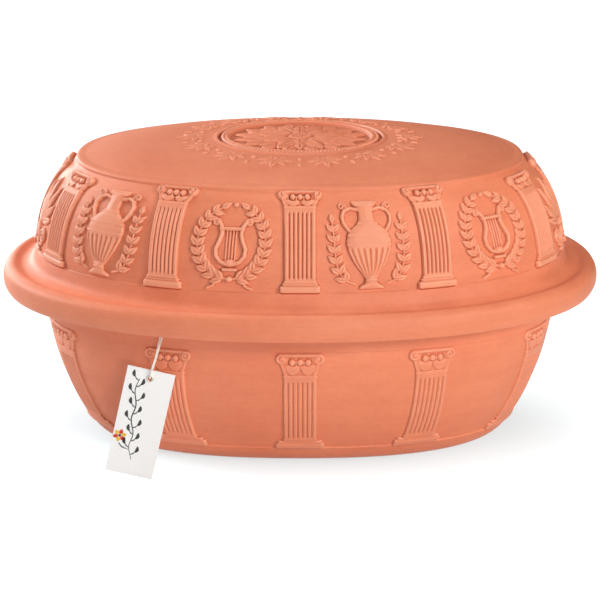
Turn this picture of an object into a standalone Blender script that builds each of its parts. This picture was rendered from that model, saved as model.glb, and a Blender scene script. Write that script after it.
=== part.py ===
"""Oval unglazed clay roaster: a base pot, a lift-off lid and a paper tag hanging on a string loop.

Metres, +Z up. The origin is on the table, under the middle of the pot. +X runs along the long oval.
Every clay surface is a stack of oval rings. An inset is how far a ring lies inside the lid's widest
line, measured at the oval's ends.
"""
import math
from collections import namedtuple

import bmesh
import bpy
import numpy as np
from mathutils import Matrix, Vector

# Overall oval, over the lid's rounded rim
LENGTH = 0.410
WIDTH = 0.280
WALL = 0.008
SEGMENTS = 64

# Base pot, heights from the table
BASE_HEIGHT = 0.1117
BASE_ROUNDNESS = 2.36       # superellipse exponent of the base's ovals, 2 is a plain ellipse
BASE_SIDE_SHARE = 0.98      # inset of the long sides, as a share of the inset of the ends
RIM_INSET = 0.0270
RIM_EASE = 0.0015           # rounding of the rim's two edges
FOOT_INSET = 0.0732         # edge of the flat underside
FOOT_LINE_INSET = 0.0544    # where the foot's round corner meets the wall
FOOT_LINE_HEIGHT = 0.0134
BASE_BELLY = ((0.82, 0.385), (0.91, 0.68))     # wall curve's handles: share of its run, of its rise
FLOOR = 0.010
FLOOR_FILLET = 0.014

# Lid, heights from its seat
SEAT_GAP = 0.0003
SEAT_CLEARANCE = 0.003      # between the base's rim and the lip that comes down around it
LIP_DROP = 0.0046
LIP_TUCK = 0.0024           # the lip's lower edge lies this far inside the widest line
WIDEST_HEIGHT = 0.0047
CREST_INSET = 0.0070
CREST_HEIGHT = 0.0124
COVE_INSET = 0.0135
COVE_HEIGHT = 0.0112
FRIEZE_INSET = 0.0237       # foot of the upright wall
FRIEZE_HEIGHT = 0.0220
CREASE_INSET = 0.0546       # where the wall turns into the dome
CREASE_HEIGHT = 0.0844
LID_BELLY = ((0.09, 0.40), (0.33, 0.75))
DOME_RISE = 0.0106          # from the crease up to the middle
DOME_POWER = 4
LID_ROUNDNESS = 2.19
LID_SIDE_SHARE = 0.674
MEDALLION_RADIUS = 0.0605
MEDALLION_RISE = 0.0012     # round pad in the middle of the dome

# Paper tag on its string
STRING_DIAMETER = 0.0011
STRING_FROM_RIM = 0.0003    # clear space between the string and the rim's outer face
STRING_FROM_LID = 0.0014    # clear space over the string's ends
STRING_BEND_DROP = 0.0030   # the string bends this far below the rim's top
STRING_POINTS = 64
TAG_PLANE_Y = -0.1125       # middle of the card's thickness
EYELET_X = -0.0962
EYELET_Z = 0.0737
TAG_TILT = math.radians(13.5)
TAG_WIDTH = 0.031
TAG_LENGTH = 0.075
TAG_THICKNESS = 0.0005
TAG_HOLE_DROP = 0.0060      # from the card's top edge to the middle of its hole
EYELET_BORE = 0.0027
EYELET_OUTER = 0.0051
EYELET_PLATE = 0.00025      # thickness of the eyelet's metal
EYELET_GAP = 0.00015        # between the metal and the card
LOOP_ENDS_X = (-0.0880, -0.0852)

Ring = namedtuple("Ring", "half_length half_width roundness height")


def oval_ring(inset, height, side_share, roundness, thickness=0.0):
    """Ring at an inset of the overall oval, drawn in evenly by a wall thickness."""
    return Ring(LENGTH / 2 - inset - thickness, WIDTH / 2 - side_share * inset - thickness,
                roundness, height)


def ring_points(ring):
    """The ring's corners, counterclockwise seen from above."""
    points = []
    for step in range(SEGMENTS):
        angle = 2 * math.pi * step / SEGMENTS
        along, across = math.cos(angle), math.sin(angle)
        power = 2 / ring.roundness
        points.append((ring.half_length * math.copysign(abs(along) ** power, along),
                       ring.half_width * math.copysign(abs(across) ** power, across),
                       ring.height))
    return points


def bezier(start, handle_1, handle_2, end, steps):
    """Points of a cubic curve in the (inset, height) plane, both ends included."""
    corners = np.array([start, handle_1, handle_2, end])
    points = []
    for share in np.linspace(0, 1, steps + 1):
        left = 1 - share
        weights = np.array([left ** 3, 3 * left ** 2 * share, 3 * left * share ** 2, share ** 3])
        points.append(tuple(float(value) for value in weights @ corners))
    return points


def belly_curve(start, end, belly, steps):
    """Curve between two points, with its handles at shares of the run and the rise."""
    handles = [(start[0] + run * (end[0] - start[0]), start[1] + rise * (end[1] - start[1]))
               for run, rise in belly]
    return bezier(start, *handles, end, steps)


def smooth_through(points, samples):
    """Even samples of a Catmull-Rom curve that passes through the given points."""
    nodes = [Vector(point) for point in points]
    nodes = [2 * nodes[0] - nodes[1]] + nodes + [2 * nodes[-1] - nodes[-2]]
    fine = []
    for before, start, end, after in zip(nodes, nodes[1:], nodes[2:], nodes[3:]):
        for step in range(24):
            t = step / 24
            fine.append(0.5 * (2 * start + (end - before) * t
                               + (2 * before - 5 * start + 4 * end - after) * t ** 2
                               + (3 * start - before - 3 * end + after) * t ** 3))
    fine.append(nodes[-2])
    walked = np.cumsum([0] + [(b - a).length for a, b in zip(fine, fine[1:])])
    wanted = np.linspace(0, walked[-1], samples)
    columns = [np.interp(wanted, walked, [point[axis] for point in fine])
               for axis in range(len(points[0]))]
    return [tuple(float(value) for value in row) for row in zip(*columns)]


def material(name, colour, roughness, metallic=0.0):
    """Plain Principled material."""
    new = bpy.data.materials.new(name)
    new.use_nodes = True
    shader = new.node_tree.nodes["Principled BSDF"]
    shader.inputs["Base Color"].default_value = (*colour, 1.0)
    shader.inputs["Roughness"].default_value = roughness
    shader.inputs["Metallic"].default_value = metallic
    return new


def add_object(name, data, surface, parent=None, location=(0, 0, 0)):
    """Puts mesh or curve data in the scene under a name."""
    data.name = name
    data.materials.append(surface)
    new = bpy.data.objects.new(name, data)
    new.parent = parent
    new.location = location
    bpy.context.scene.collection.objects.link(new)
    return new


def add_pivot(name, location, parent=None):
    """Empty on a joint's axis."""
    pivot = bpy.data.objects.new(name, None)
    pivot.empty_display_size = 0.01
    pivot.parent = parent
    pivot.location = location
    bpy.context.scene.collection.objects.link(pivot)
    return pivot


def mesh_from(bm, sharp_angle=35):
    """Finished mesh with outward faces, smooth up to an angle."""
    bmesh.ops.recalc_face_normals(bm, faces=bm.faces)
    mesh = bpy.data.meshes.new("mesh")
    bm.to_mesh(mesh)
    bm.free()
    mesh.shade_smooth()
    mesh.set_sharp_from_angle(angle=math.radians(sharp_angle))
    return mesh


def shell(rings):
    """Closed body lofted through the rings in order, flat inside the first and the last."""
    bm = bmesh.new()
    loops = [[bm.verts.new(point) for point in ring_points(ring)] for ring in rings]
    for lower, upper in zip(loops, loops[1:]):
        for index in range(SEGMENTS):
            after = (index + 1) % SEGMENTS
            bm.faces.new((lower[index], lower[after], upper[after], upper[index]))
    bm.faces.new(loops[0])
    bm.faces.new(loops[-1])
    return mesh_from(bm)


def base_wall_profile():
    """Outer wall of the base from its foot line to the rim, as (inset, height)."""
    return belly_curve((FOOT_LINE_INSET, FOOT_LINE_HEIGHT), (RIM_INSET, BASE_HEIGHT - RIM_EASE),
                       BASE_BELLY, 7)


def base_rings():
    """The base's rings, from the flat underside up the outside and down the inside."""
    def ring(inset, height, thickness=0.0):
        return oval_ring(inset, height, BASE_SIDE_SHARE, BASE_ROUNDNESS, thickness)

    foot = bezier((FOOT_INSET, 0), (FOOT_INSET * 0.55 + FOOT_LINE_INSET * 0.45, 0),
                  (FOOT_LINE_INSET * 0.8 + FOOT_INSET * 0.2, FOOT_LINE_HEIGHT * 0.5),
                  (FOOT_LINE_INSET, FOOT_LINE_HEIGHT), 4)
    wall = base_wall_profile()
    outside = [ring(*point) for point in foot[:-1] + wall]
    rim = [ring(RIM_INSET + RIM_EASE, BASE_HEIGHT),
           ring(RIM_INSET - RIM_EASE, BASE_HEIGHT, WALL),
           ring(RIM_INSET, BASE_HEIGHT - RIM_EASE, WALL)]
    fillet_top = FLOOR + FLOOR_FILLET
    inside = [ring(*point, WALL) for point in reversed(wall[:-1]) if point[1] > fillet_top]
    insets, heights = zip(*wall)
    corner_inset = float(np.interp(fillet_top, heights, insets))
    fillet = bezier((corner_inset, fillet_top),
                    (corner_inset + FLOOR_FILLET * 0.2, FLOOR + FLOOR_FILLET * 0.4),
                    (corner_inset + FLOOR_FILLET * 0.5, FLOOR),
                    (corner_inset + FLOOR_FILLET, FLOOR), 3)
    return outside + rim + inside + [ring(*point, WALL) for point in fillet]


def lid_wall_rings():
    """The lid's outside from the lip's lower edge to the crease."""
    lip = smooth_through([(LIP_TUCK, -LIP_DROP),
                          (LIP_TUCK * 0.15, (WIDEST_HEIGHT - LIP_DROP) * 0.5 - LIP_TUCK * 0.3),
                          (0, WIDEST_HEIGHT),
                          (CREST_INSET * 0.25, WIDEST_HEIGHT + (CREST_HEIGHT - WIDEST_HEIGHT) * 0.66),
                          (CREST_INSET, CREST_HEIGHT),
                          (COVE_INSET, COVE_HEIGHT),
                          (COVE_INSET + (FRIEZE_INSET - COVE_INSET) * 0.66,
                           COVE_HEIGHT + (FRIEZE_HEIGHT - COVE_HEIGHT) * 0.28),
                          (FRIEZE_INSET, FRIEZE_HEIGHT)], 13)
    wall = belly_curve((FRIEZE_INSET, FRIEZE_HEIGHT), (CREASE_INSET, CREASE_HEIGHT), LID_BELLY, 7)
    return [oval_ring(*point, LID_SIDE_SHARE, LID_ROUNDNESS) for point in lip[:-1] + wall]


def dome_ring(share, crease):
    """Ring of the dome at a share of the way from its middle to the crease."""
    return Ring(crease.half_length * share, crease.half_width * share, LID_ROUNDNESS,
                crease.height + DOME_RISE * (1 - share ** DOME_POWER))


def drawn_in(rings, thickness):
    """The rings moved inwards, square to the profile that they make at the oval's ends."""
    moved = []
    for index, ring in enumerate(rings):
        before, after = rings[max(index - 1, 0)], rings[min(index + 1, len(rings) - 1)]
        run, rise = after.half_length - before.half_length, after.height - before.height
        length = math.hypot(run, rise)
        moved.append(Ring(ring.half_length - thickness * rise / length,
                          ring.half_width - thickness * rise / length,
                          ring.roundness, ring.height + thickness * run / length))
    return moved


def lid_rings():
    """The lid's rings, from its medallion down the outside, around the lip and up the inside."""
    wall = lid_wall_rings()
    crease = wall[-1]
    dome = [dome_ring(share, crease) for share in (0.93, 0.82, 0.7)]
    crown = crease.height + DOME_RISE + MEDALLION_RISE
    pad_edge = Ring(MEDALLION_RADIUS, MEDALLION_RADIUS, 2, crown - MEDALLION_RISE)
    pad_top = Ring(MEDALLION_RADIUS - MEDALLION_RISE, MEDALLION_RADIUS - MEDALLION_RISE, 2, crown)
    outside = [pad_top, pad_edge] + dome[::-1] + wall[::-1]

    rim = oval_ring(RIM_INSET, 0, BASE_SIDE_SHARE, BASE_ROUNDNESS)
    around_rim = rim._replace(half_length=rim.half_length + SEAT_CLEARANCE,
                              half_width=rim.half_width + SEAT_CLEARANCE)
    seat = [around_rim._replace(height=-LIP_DROP), around_rim,
            oval_ring(RIM_INSET, 0, BASE_SIDE_SHARE, BASE_ROUNDNESS, WALL)]

    upright = [ring for ring in wall if ring.height >= FRIEZE_HEIGHT - 1e-6]
    covered = upright + dome + [dome_ring(0.4, crease), dome_ring(0.1, crease)]
    return outside + seat + drawn_in(covered, WALL)


def rim_seam(x, outward):
    """Point outside the base's rim, on its front, at a distance from its outer face.

    Its height is that of the string's ends.
    """
    rim = oval_ring(RIM_INSET, 0, BASE_SIDE_SHARE, BASE_ROUNDNESS)
    power = rim.roundness
    y = -rim.half_width * (1 - (abs(x) / rim.half_length) ** power) ** (1 / power)
    slope = Vector((x * abs(x) ** (power - 2) / rim.half_length ** power,
                    y * abs(y) ** (power - 2) / rim.half_width ** power)).normalized()
    top = BASE_HEIGHT + SEAT_GAP - STRING_FROM_LID
    return Vector((x + slope.x * outward, y + slope.y * outward, top))


def string_route():
    """Points that the string passes: seam, front of the card, eyelet, back of the card, seam."""
    left, right = (rim_seam(x, STRING_FROM_RIM + STRING_DIAMETER / 2) for x in LOOP_ENDS_X)
    hole = Vector((EYELET_X, TAG_PLANE_Y, EYELET_Z))
    return [left,
            left - Vector((0.0001, 0, 0.0022)),
            (-0.0891, -0.1092, 0.1010),
            (-0.0920, -0.1137, 0.0893),
            (-0.0945, -0.1146, 0.0815),
            hole + Vector((0.0008, -0.0021, 0.0040)),
            hole + Vector((0.0003, -0.0018, 0.0015)),
            hole + Vector((0.0000, -0.0010, 0.0005)),
            hole + Vector((0.0000, 0.0000, 0.0003)),
            hole + Vector((0.0000, 0.0010, 0.0005)),
            hole + Vector((0.0003, 0.0018, 0.0015)),
            hole + Vector((0.0012, 0.0021, 0.0040)),
            (-0.0933, -0.1105, 0.0830),
            (-0.0905, -0.1101, 0.0920),
            (-0.0876, -0.1088, 0.1020),
            right - Vector((-0.0001, 0, 0.0022)),
            right]


def add_base(clay):
    """Base pot, standing on its flat underside."""
    return add_object("base_pot", shell(base_rings()), clay)


def add_lid(clay):
    """Lid, with its origin on the seat, on the line that it lifts along."""
    return add_object("lid", shell(lid_rings()), clay, location=(0, 0, BASE_HEIGHT + SEAT_GAP))


def add_string(surface, pivot):
    """The string as one tube that goes out from the seam and back to it."""
    curve = bpy.data.curves.new("string", "CURVE")
    curve.dimensions = "3D"
    curve.bevel_depth = STRING_DIAMETER / 2
    curve.bevel_resolution = 2
    curve.use_fill_caps = True
    points = smooth_through(string_route(), STRING_POINTS)
    spline = curve.splines.new("POLY")
    spline.points.add(len(points) - 1)
    for control, point in zip(spline.points, points):
        control.co = (*(Vector(point) - pivot.location), 1.0)
    return add_object("tag_string", curve, surface, pivot)


def add_card(surface, pivot):
    """The card with its round hole, around the pivot in the hole's middle."""
    hole_radius = EYELET_BORE / 2 + EYELET_PLATE + EYELET_GAP
    top = TAG_HOLE_DROP
    outline = [(-TAG_WIDTH / 2, top - TAG_LENGTH), (TAG_WIDTH / 2, top - TAG_LENGTH),
               (TAG_WIDTH / 2, top), (-TAG_WIDTH / 2, top)]
    hole_steps = 24
    bm = bmesh.new()
    rims = []
    for y in (-TAG_THICKNESS / 2, TAG_THICKNESS / 2):
        corners = [bm.verts.new((x, y, z)) for x, z in outline]
        hole = [bm.verts.new((hole_radius * math.cos(2 * math.pi * step / hole_steps), y,
                              hole_radius * math.sin(2 * math.pi * step / hole_steps)))
                for step in range(hole_steps)]
        edges = []
        for loop in (corners, hole):
            edges += [bm.edges.new((a, b)) for a, b in zip(loop, loop[1:] + loop[:1])]
        bmesh.ops.triangle_fill(bm, edges=edges, use_beauty=True)
        rims.append((corners, hole))
    for front, back in zip(*rims):
        for index in range(len(front)):
            after = (index + 1) % len(front)
            bm.faces.new((front[index], front[after], back[after], back[index]))
    return add_object("tag_card", mesh_from(bm), surface, pivot)


def add_eyelet(surface, pivot):
    """Metal eyelet: a barrel through the hole, with a flat flange on each face of the card."""
    bore, outer = EYELET_BORE / 2, EYELET_OUTER / 2
    reach = TAG_THICKNESS / 2 + EYELET_GAP
    section = [(bore, -reach - EYELET_PLATE), (outer, -reach - EYELET_PLATE), (outer, -reach),
               (bore + EYELET_PLATE, -reach), (bore + EYELET_PLATE, reach), (outer, reach),
               (outer, reach + EYELET_PLATE), (bore, reach + EYELET_PLATE)]
    bm = bmesh.new()
    verts = [bm.verts.new((radius, y, 0)) for radius, y in section]
    edges = [bm.edges.new((a, b)) for a, b in zip(verts, verts[1:] + verts[:1])]
    bmesh.ops.spin(bm, geom=edges, cent=(0, 0, 0), axis=(0, 1, 0), angle=2 * math.pi,
                   steps=24, use_duplicate=False, use_merge=True)
    return add_object("tag_eyelet", mesh_from(bm), surface, pivot)


def main():
    """Builds the whole roaster."""
    for old in list(bpy.data.objects):
        bpy.data.objects.remove(old, do_unlink=True)

    add_base(material("base_clay", (0.72, 0.24, 0.13), 0.85))
    add_lid(material("lid_clay", (0.72, 0.24, 0.13), 0.85))

    bend = (rim_seam(LOOP_ENDS_X[0], 0) + rim_seam(LOOP_ENDS_X[1], 0)) / 2
    bend.z = BASE_HEIGHT - STRING_BEND_DROP
    string_pivot = add_pivot("string_pivot", bend)
    eyelet_centre = Vector((EYELET_X, TAG_PLANE_Y, EYELET_Z))
    tag_pivot = add_pivot("tag_pivot", eyelet_centre - bend, string_pivot)
    tag_pivot.rotation_euler = Matrix.Rotation(TAG_TILT, 3, "Y").to_euler()
    add_string(material("tag_cotton", (0.85, 0.82, 0.76), 0.9), string_pivot)
    add_card(material("tag_paper", (0.88, 0.88, 0.86), 0.6), tag_pivot)
    add_eyelet(material("tag_metal", (0.62, 0.58, 0.50), 0.35, 1.0), tag_pivot)


main()
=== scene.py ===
"""Dressed scene of an oval clay roaster: base pot, lift-off lid with pressed relief, paper tag."""

import math

import bmesh
import bpy
import numpy as np
from mathutils import Matrix, Vector


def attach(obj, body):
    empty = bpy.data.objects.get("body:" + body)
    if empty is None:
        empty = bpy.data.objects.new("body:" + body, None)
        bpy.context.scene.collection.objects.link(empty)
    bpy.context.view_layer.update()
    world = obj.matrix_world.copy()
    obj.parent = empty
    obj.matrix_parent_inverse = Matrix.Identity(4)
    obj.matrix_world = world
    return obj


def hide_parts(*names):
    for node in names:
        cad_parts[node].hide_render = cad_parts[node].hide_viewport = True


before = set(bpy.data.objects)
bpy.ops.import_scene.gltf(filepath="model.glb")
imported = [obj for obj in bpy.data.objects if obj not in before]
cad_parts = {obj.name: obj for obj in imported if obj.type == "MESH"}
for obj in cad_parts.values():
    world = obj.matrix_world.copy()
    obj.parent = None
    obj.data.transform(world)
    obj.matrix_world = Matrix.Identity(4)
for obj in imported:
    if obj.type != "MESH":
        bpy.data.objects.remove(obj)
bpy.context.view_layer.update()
bpy.context.scene.view_settings.view_transform = "Standard"


# ------------------------------------------------------------------------------------------------
# Base pot. A deep oval pot of unglazed red clay, pressed in a plaster mould and fired once.
# The wall swells from a small rounded foot to a flat rim. Its face is a hair lower between the
# line under the rim and the line above the foot, and the columns stand in that sunken band.
LENGTH, WIDTH, WALL = 0.410, 0.280, 0.008        # over the lid's widest line
BASE_HEIGHT = 0.1117
BASE_OVAL = (0.98, 2.36)         # share of an inset taken from the sides, and the oval's roundness
RIM_INSET, RIM_EASE = 0.0270, 0.0015
FOOT_INSET, FOOT_LINE_INSET, FOOT_LINE_HEIGHT = 0.0732, 0.0544, 0.0134
BASE_BELLY = ((0.82, 0.385), (0.91, 0.68))
FLOOR, FLOOR_FILLET = 0.010, 0.014
BASE_BAND = (0.0006, 0.0826)     # sunken band, measured up along the wall
BASE_SUNK, BASE_BAND_EDGE = 0.0008, 0.0008
ROW_STEP = 0.0016                # between the rows of a wall
OVAL_STEPS = 300


def curve_through(start, handle_1, handle_2, end, steps):
    """Points of a cubic curve in the (inset, height) plane."""
    t = np.linspace(0, 1, steps + 1)[:, None]
    corners = [np.array(point, float) for point in (start, handle_1, handle_2, end)]
    return ((1 - t) ** 3 * corners[0] + 3 * t * (1 - t) ** 2 * corners[1]
            + 3 * t * t * (1 - t) * corners[2] + t ** 3 * corners[3])


def belly_curve(start, end, belly, steps):
    """Wall line between two points, its handles at shares of the run and the rise."""
    handles = [[s + share * (e - s) for s, e, share in zip(start, end, pair)] for pair in belly]
    return curve_through(start, *handles, end, steps)


def oval_row(half_length, half_width, roundness, height, steps=OVAL_STEPS):
    """One closed oval line of points, counterclockwise seen from above."""
    turn = 2 * np.pi * np.arange(steps) / steps
    along, across = np.cos(turn), np.sin(turn)
    power = 2 / roundness
    return np.stack([half_length * np.sign(along) * np.abs(along) ** power,
                     half_width * np.sign(across) * np.abs(across) ** power,
                     np.full(steps, height)], axis=1)


def inset_row(inset, height, side_share, roundness, thickness=0.0):
    """Oval line at an inset of the overall oval, drawn in evenly by a wall thickness."""
    return oval_row(LENGTH / 2 - inset - thickness, WIDTH / 2 - side_share * inset - thickness,
                    roundness, height)


def loft(rows, closed_ring=False, depths=None):
    """Clay body drawn from row to row, its two ends closed flat or joined to each other. Depths say how
    far each point lies in a hollow of the relief."""
    bm = bmesh.new()
    step = bm.verts.layers.int.new("step")
    hollow = bm.verts.layers.float.new("hollow")
    if depths is None:
        depths = np.zeros((len(rows), len(rows[0])))
    bmesh.ops.create_circle(bm, cap_ends=False, segments=len(rows[0]), radius=1)
    bm.verts.ensure_lookup_table()
    start = bm.verts[0]
    order, edge = [start], start.link_edges[0]
    while len(order) < len(rows[0]):
        order.append(edge.other_vert(order[-1]))
        edge = next(e for e in order[-1].link_edges if e != edge)
    if order[1].co.cross(order[0].co).z > 0:
        order = [order[0]] + order[:0:-1]
    for index, vert in enumerate(order):
        vert[step] = index
        vert.co = rows[0][index]
        vert[hollow] = depths[0][index]
    first = last = list(bm.edges)
    for row, depth in zip(rows[1:], depths[1:]):
        pulled = bmesh.ops.extrude_edge_only(bm, edges=last)["geom"]
        last = [part for part in pulled if isinstance(part, bmesh.types.BMEdge)]
        for vert in pulled:
            if isinstance(vert, bmesh.types.BMVert):
                vert.co = row[vert[step]]
                vert[hollow] = depth[vert[step]]
    if closed_ring:
        bmesh.ops.bridge_loops(bm, edges=first + last)
    else:
        for loop in (first, last):
            bmesh.ops.contextual_create(bm, geom=loop)
    bm.verts.layers.int.remove(step)
    return bm


def add_piece(name, bm, surface, body, sharp=55):
    """Finished mesh piece with outward faces, riding on its body."""
    bmesh.ops.recalc_face_normals(bm, faces=bm.faces)
    mesh = bpy.data.meshes.new(name)
    bm.to_mesh(mesh)
    bm.free()
    mesh.shade_smooth()
    mesh.set_sharp_from_angle(angle=math.radians(sharp))
    mesh.materials.append(surface)
    piece = bpy.data.objects.new(name, mesh)
    bpy.context.scene.collection.objects.link(piece)
    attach(piece, body)
    return piece


def smooth_step(x):
    """0 below 0, 1 above 1, and a soft S between."""
    t = np.clip(x, 0, 1)
    return t * t * (3 - 2 * t)


def sunken_wall(profile, side_share, band, depth, edge):
    """Wall line as rows (way up, inset, height), set back by a depth between the band's two lines."""
    way = np.r_[0, np.cumsum(np.hypot(side_share * np.diff(profile[:, 0]), np.diff(profile[:, 1])))]
    fine = [np.arange(line - 0.6 * edge, line + 1.6 * edge, edge / 5) for line in
            (band[0], band[1] - edge)]
    up = np.r_[np.arange(0, way[-1] - ROW_STEP / 4, ROW_STEP), way[-1], *fine]
    up = np.unique(np.round(np.clip(up, 0, way[-1]), 6))
    inset, height = np.interp(up, way, profile[:, 0]), np.interp(up, way, profile[:, 1])
    run, rise = np.gradient(inset, up, edge_order=2), np.gradient(height, up, edge_order=2)
    back = depth * smooth_step((up - band[0]) / edge) * smooth_step((band[1] - up) / edge)
    length = np.hypot(run, rise)
    return np.stack([up, inset + back * rise / length, height - back * run / length], axis=1)


base_line = belly_curve((FOOT_LINE_INSET, FOOT_LINE_HEIGHT), (RIM_INSET, BASE_HEIGHT - RIM_EASE),
                        BASE_BELLY, 400)
base_wall = sunken_wall(base_line, BASE_OVAL[0], BASE_BAND, BASE_SUNK, BASE_BAND_EDGE)

foot = curve_through((FOOT_INSET, 0), (FOOT_INSET * 0.55 + FOOT_LINE_INSET * 0.45, 0),
                     (FOOT_LINE_INSET * 0.8 + FOOT_INSET * 0.2, FOOT_LINE_HEIGHT * 0.5),
                     (FOOT_LINE_INSET, FOOT_LINE_HEIGHT), 18)
rim = curve_through((0, -RIM_EASE), (0, -RIM_EASE * 0.4), (RIM_EASE * 0.4, 0), (RIM_EASE, 0), 5)
fillet_top = FLOOR + FLOOR_FILLET
corner = float(np.interp(fillet_top, base_line[:, 1], base_line[:, 0]))
fillet = curve_through((corner, fillet_top), (corner + FLOOR_FILLET * 0.2, FLOOR + FLOOR_FILLET * 0.4),
                       (corner + FLOOR_FILLET * 0.5, FLOOR), (corner + FLOOR_FILLET, FLOOR), 10)
base_rows = [(*point, 0) for point in foot[:-1]] + [(*point, 0) for point in base_wall[:, 1:]]
base_rows += [(RIM_INSET + out, BASE_HEIGHT + up, 0) for out, up in rim[1:]]
base_rows += [(RIM_INSET - out, BASE_HEIGHT + up, WALL) for out, up in rim[::-1]]
base_rows += [(*point, WALL) for point in base_line[-6::-8] if point[1] > fillet_top + ROW_STEP / 4]
base_rows += [(*point, WALL) for point in fillet]


def fill(tree, node, inputs):
    """Gives each named input of a node its value, or the socket that feeds it."""
    for name, value in inputs.items():
        if isinstance(value, bpy.types.NodeSocket):
            tree.links.new(value, node.inputs[name])
        else:
            node.inputs[name].default_value = value


def wired(tree, kind, inputs=None, **settings):
    """New node of a finish, with its settings and its inputs."""
    node = tree.nodes.new("ShaderNode" + kind)
    for name, value in settings.items():
        setattr(node, name, value)
    fill(tree, node, inputs or {})
    return node


def new_finish(name):
    """New material, its node tree and its shader."""
    surface = bpy.data.materials.new(name)
    surface.use_nodes = True
    return surface, surface.node_tree, surface.node_tree.nodes["Principled BSDF"]


CLAY_PALE, CLAY_DEEP = (0.85, 0.276, 0.145, 1), (0.65, 0.150, 0.063, 1)
# Painted shade for the relief's hollows, and for its crests a paler tone that is partly worn clay and
# partly a painted highlight
CLAY_PAINTED_SHADE, CLAY_WORN_CREST_AND_HIGHLIGHT = (0.34, 0.060, 0.022, 1), (0.95, 0.44, 0.28, 1)
CLAY_TONE, CLAY_ROUGHNESS = 0.62, 0.57       # of the plain wall; the tone runs from deep to pale


def fired_clay_group():
    """Colour, roughness and relief of bare fired clay: cloudy tone, faint streaks from the mould, fine
    grain and pinhead pores. The hollows of a pressed relief get painted shade, and its crests a paler
    tone that is partly worn clay and partly a painted highlight."""
    tree = bpy.data.node_groups.new("fired_clay", "ShaderNodeTree")
    for name, way, kind in (("Pale", "INPUT", "Color"), ("Deep", "INPUT", "Color"),
                            ("Hollow", "INPUT", "Float"), ("Color", "OUTPUT", "Color"),
                            ("Roughness", "OUTPUT", "Float"), ("Relief", "OUTPUT", "Float")):
        tree.interface.new_socket(name, in_out=way, socket_type="NodeSocket" + kind)
    enter, leave = tree.nodes.new("NodeGroupInput"), tree.nodes.new("NodeGroupOutput")
    place, hollow = wired(tree, "TexCoord").outputs["Object"], enter.outputs["Hollow"]

    def noise(scale, detail, stretch=(1, 1, 1), rough=0.55):
        turned = wired(tree, "Mapping", {"Vector": place, "Scale": stretch}).outputs["Vector"]
        return wired(tree, "TexNoise", {"Vector": turned, "Scale": scale, "Detail": detail,
                                        "Roughness": rough}).outputs["Fac"]

    def maths(operation, *values):
        return wired(tree, "Math", dict(enumerate(values)), operation=operation).outputs["Value"]

    def blended(share, below, above):
        return wired(tree, "Mix", {"Factor": share, "A": below, "B": above},
                     data_type="RGBA").outputs["Result"]

    clouds, streaks, mottle = noise(11, 3), noise(16, 2, (1, 1, 7)), noise(95, 4)
    brushed, grain = noise(170, 3, (1, 1, 4.5)), noise(900, 3, rough=0.7)
    pores = wired(tree, "TexVoronoi", {"Vector": place, "Scale": 520}).outputs["Distance"]
    pore = wired(tree, "MapRange", {"Value": pores, "From Min": 0.05, "From Max": 0.16,
                                    "To Min": 1, "To Max": 0}).outputs["Result"]

    tone = CLAY_TONE
    for pattern, strength in ((clouds, 0.95), (streaks, 0.42), (mottle, 0.34), (brushed, 0.45),
                              (grain, 0.50)):
        tone = maths("MULTIPLY_ADD", maths("SUBTRACT", pattern, 0.5), strength, tone)
    tone = maths("SUBTRACT", tone, maths("MULTIPLY", pore, 0.10))
    colour = blended(tone, enter.outputs["Deep"], enter.outputs["Pale"])
    # Painted shade: the clay goes towards a dark burnt tone in the relief's hollows
    colour = blended(maths("MULTIPLY", hollow, 0.95), colour, CLAY_PAINTED_SHADE)
    # Painted highlight, partly worn clay: the crests go towards a paler tone
    colour = blended(maths("MULTIPLY", hollow, -0.80), colour, CLAY_WORN_CREST_AND_HIGHLIGHT)
    rough = maths("MULTIPLY_ADD", maths("SUBTRACT", mottle, 0.5), 0.22, CLAY_ROUGHNESS)
    relief = maths("MULTIPLY_ADD", mottle, 0.9, maths("MULTIPLY", grain, 0.5))
    relief = maths("MULTIPLY_ADD", brushed, 0.7, relief)
    fill(tree, leave, {"Color": colour, "Roughness": maths("MULTIPLY_ADD", hollow, 0.18, rough),
                       "Relief": maths("SUBTRACT", relief, maths("MULTIPLY", pore, 0.5))})
    return tree


def clay_surface(name):
    """The fired clay of one piece."""
    surface, tree, shader = new_finish(name)
    group = bpy.data.node_groups.get("fired_clay") or fired_clay_group()
    # Depth in the relief, which sets the painted shade in its hollows and the painted highlight on its
    # crests
    hollow = wired(tree, "Attribute", attribute_name="hollow").outputs["Fac"]
    body = wired(tree, "Group", {"Pale": CLAY_PALE, "Deep": CLAY_DEEP, "Hollow": hollow},
                 node_tree=group)
    bump = wired(tree, "Bump", {"Strength": 0.35, "Distance": 0.0004, "Height": body.outputs["Relief"]})
    fill(tree, shader, {"Base Color": body.outputs["Color"], "Roughness": body.outputs["Roughness"],
                        "Normal": bump.outputs["Normal"]})
    return surface


base_clay = clay_surface("base_clay_fired")
base_pot = add_piece("base_pot_clay", loft([inset_row(inset, height, *BASE_OVAL, thickness)
                                            for inset, height, thickness in base_rows]),
                     base_clay, "base")
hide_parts("base_pot")


# ------------------------------------------------------------------------------------------------
# Base columns. Twelve low columns pressed with the wall, standing at the same shares of each quarter
# of the oval from foot to rim: the middle of each side, its ends, and two between. Each has a block
# foot, a shaft with six flutes, and a capital of small leaves, three pearls and two scrolls.
BASE_COLUMN_SHARES = ((0.400, 0.366), (0.762, 0.745))  # of a quarter of the oval, at foot and top
RELIEF_STEP = 0.45        # millimetres between the points of a relief
RELIEF_SUNK = 0.15        # how far a relief's plain ground lies inside the wall, in millimetres
RELIEF_BACK = 0.0016      # how far its back lies inside the wall
WALK_STEPS = 4320         # steps around an oval, along which its length is measured


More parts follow.
